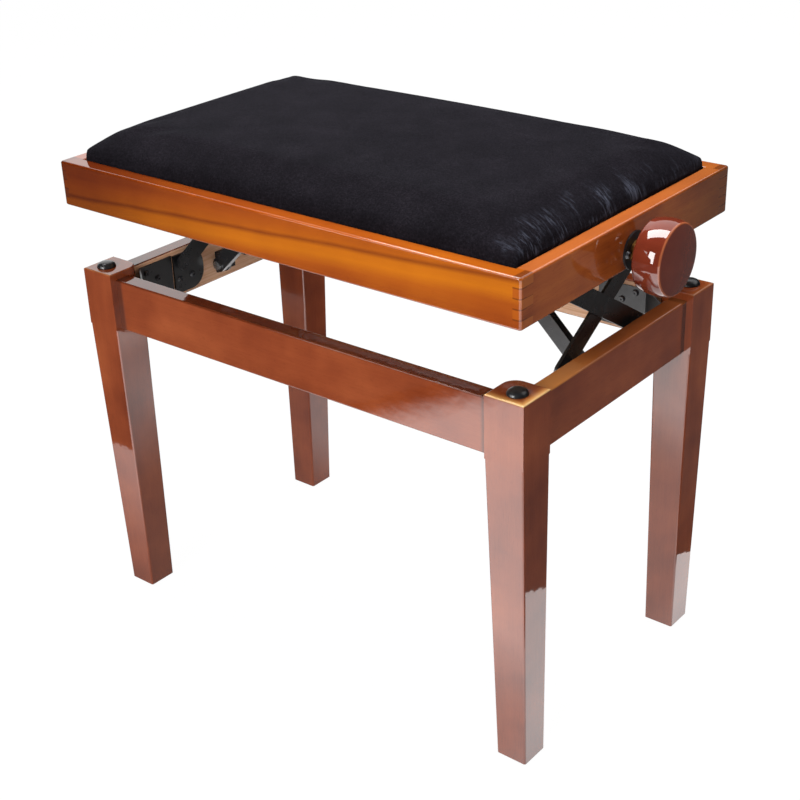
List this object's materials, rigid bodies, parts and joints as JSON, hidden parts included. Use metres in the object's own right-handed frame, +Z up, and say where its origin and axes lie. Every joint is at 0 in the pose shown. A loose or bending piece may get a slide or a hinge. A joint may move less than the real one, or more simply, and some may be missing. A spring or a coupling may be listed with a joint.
{
  "type": "piano stool",
  "caption": "Height-adjustable wooden piano stool: padded seat in a finger-jointed frame, raised on two steel scissors by a screw spindle with a side knob.",
  "frame": {"origin": "middle of the object's box at floor level, with the seat at its height in the picture", "axes": "+X along the seat's length, towards the knob; -Y towards the front, where the scissors' fixed pivots are; +Z up"},
  "size_m": [0.595, 0.34, 0.531],
  "materials": {
    "cherry_lacquer": "gloss",
    "mahogany_lacquer": "gloss",
    "bare_wood": "matt",
    "knob_lacquer": "gloss",
    "black_velour": "pile",
    "foam": "matt",
    "black_rubber": "satin",
    "pale_plastic": "matt",
    "zinc_steel": "satin",
    "bright_steel": "satin",
    "bronze": "satin",
    "black_steel": "satin"
  },
  "bodies": {
    "base": {"base_screws": "zinc_steel", "foot_glides": "pale_plastic", "front_apron": "mahogany_lacquer", "front_left_corner_bracket": "black_steel", "front_left_leg": "mahogany_lacquer", "front_right_corner_bracket": "black_steel", "front_right_leg": "mahogany_lacquer", "hanger_bolts": "zinc_steel", "left_apron": "mahogany_lacquer", "left_front_lower_bracket": "black_steel", "left_rear_lower_guide": "black_steel", "left_strut_bracket": "black_steel", "leg_bumpers": "black_rubber", "lower_pivot_pins": "zinc_steel", "rear_apron": "mahogany_lacquer", "rear_left_corner_bracket": "black_steel", "rear_left_leg": "mahogany_lacquer", "rear_right_corner_bracket": "black_steel", "rear_right_leg": "mahogany_lacquer", "right_apron": "mahogany_lacquer", "right_front_lower_bracket": "black_steel", "right_rear_lower_guide": "black_steel", "right_strut_bracket": "black_steel", "strut_foot_pins": "zinc_steel"},
    "seat": {"end_battens": "bare_wood", "escutcheon": "black_steel", "front_seat_rail": "cherry_lacquer", "left_seat_rail": "cherry_lacquer", "left_spindle_bush": "bronze", "left_upper_bracket": "black_steel", "rear_seat_rail": "cherry_lacquer", "right_seat_rail": "cherry_lacquer", "right_spindle_bush": "bronze", "right_upper_bracket": "black_steel", "seat_board": "bare_wood", "seat_corner_blocks": "bare_wood", "seat_cover": "black_velour", "seat_foam": "foam", "seat_ledges": "bare_wood", "seat_screws": "zinc_steel", "upper_pivot_pins": "zinc_steel"},
    "spindle_and_knob": {"spindle": "bright_steel", "spindle_collars": "bright_steel", "knob": "knob_lacquer", "knob_set_screw": "zinc_steel"},
    "right_rising_arm": {"right_rising_arm": "black_steel", "right_rising_arm_pins": "zinc_steel"},
    "right_falling_arm": {"right_falling_arm": "black_steel", "right_falling_arm_pin": "zinc_steel"},
    "right_strut": {"right_strut": "black_steel"},
    "right_nut": {"right_spindle_nut": "bright_steel", "right_strut_head_pin": "zinc_steel"},
    "left_rising_arm": {"left_rising_arm": "black_steel", "left_rising_arm_pins": "zinc_steel"},
    "left_falling_arm": {"left_falling_arm": "black_steel", "left_falling_arm_pin": "zinc_steel"},
    "left_strut": {"left_strut": "black_steel"},
    "left_nut": {"left_spindle_nut": "bright_steel", "left_strut_head_pin": "zinc_steel"}
  },
  "joints": [
    {"name": "height_adjustment", "type": "hinge", "parent": "base", "child": "right_rising_arm", "pos_m": [0.2185, -0.053, 0.36165], "axis": [1, 0, 0], "range_deg": [-25.47, 7.42]},
    {"name": "right_scissor_crossing", "type": "hinge", "parent": "right_rising_arm", "child": "right_falling_arm", "pos_m": [0.2185, 0.01151, 0.40182], "axis": [1, 0, 0], "range_deg": [-14.89, 50.99]},
    {"name": "seat_pivot", "type": "hinge", "parent": "right_falling_arm", "child": "seat", "pos_m": [0.2185, -0.053, 0.442], "axis": [1, 0, 0], "range_deg": [-25.52, 7.47]},
    {"name": "knob_turn", "type": "hinge", "parent": "seat", "child": "spindle_and_knob", "pos_m": [0.2675, 0, 0.467], "axis": [1, 0, 0], "range_deg": [-3672.82, 1070.01]},
    {"name": "left_lower_pivot", "type": "hinge", "parent": "base", "child": "left_rising_arm", "pos_m": [-0.2635, -0.053, 0.36165], "axis": [1, 0, 0], "range_deg": [-25.52, 7.47]},
    {"name": "left_scissor_crossing", "type": "hinge", "parent": "left_rising_arm", "child": "left_falling_arm", "pos_m": [-0.2635, 0.01151, 0.40182], "axis": [1, 0, 0], "range_deg": [-14.89, 50.99]},
    {"name": "right_strut_foot", "type": "hinge", "parent": "base", "child": "right_strut", "pos_m": [0.2115, -0.0055, 0.344], "axis": [0, 1, 0], "range_deg": [-29.34, 8.58]},
    {"name": "right_strut_head", "type": "hinge", "parent": "right_strut", "child": "right_nut", "pos_m": [0.10588, -0.0055, 0.446], "axis": [0, 1, 0], "range_deg": [-8.58, 29.34]},
    {"name": "left_strut_foot", "type": "hinge", "parent": "base", "child": "left_strut", "pos_m": [-0.2565, -0.0055, 0.344], "axis": [0, -1, 0], "range_deg": [-29.34, 8.58]},
    {"name": "left_strut_head", "type": "hinge", "parent": "left_strut", "child": "left_nut", "pos_m": [-0.15088, -0.0055, 0.446], "axis": [0, -1, 0], "range_deg": [-8.58, 29.34]}
  ],
  "couplings": [
    {"joint": "right_scissor_crossing", "follows": "height_adjustment", "ratio": -2},
    {"joint": "seat_pivot", "follows": "height_adjustment", "ratio": 1},
    {"joint": "knob_turn", "follows": "height_adjustment", "ratio": 144.2},
    {"joint": "left_lower_pivot", "follows": "height_adjustment", "ratio": 1},
    {"joint": "left_scissor_crossing", "follows": "height_adjustment", "ratio": -2},
    {"joint": "right_strut_foot", "follows": "height_adjustment", "ratio": 1.15},
    {"joint": "right_strut_head", "follows": "height_adjustment", "ratio": -1.15},
    {"joint": "left_strut_foot", "follows": "height_adjustment", "ratio": 1.15},
    {"joint": "left_strut_head", "follows": "height_adjustment", "ratio": -1.15}
  ]
}
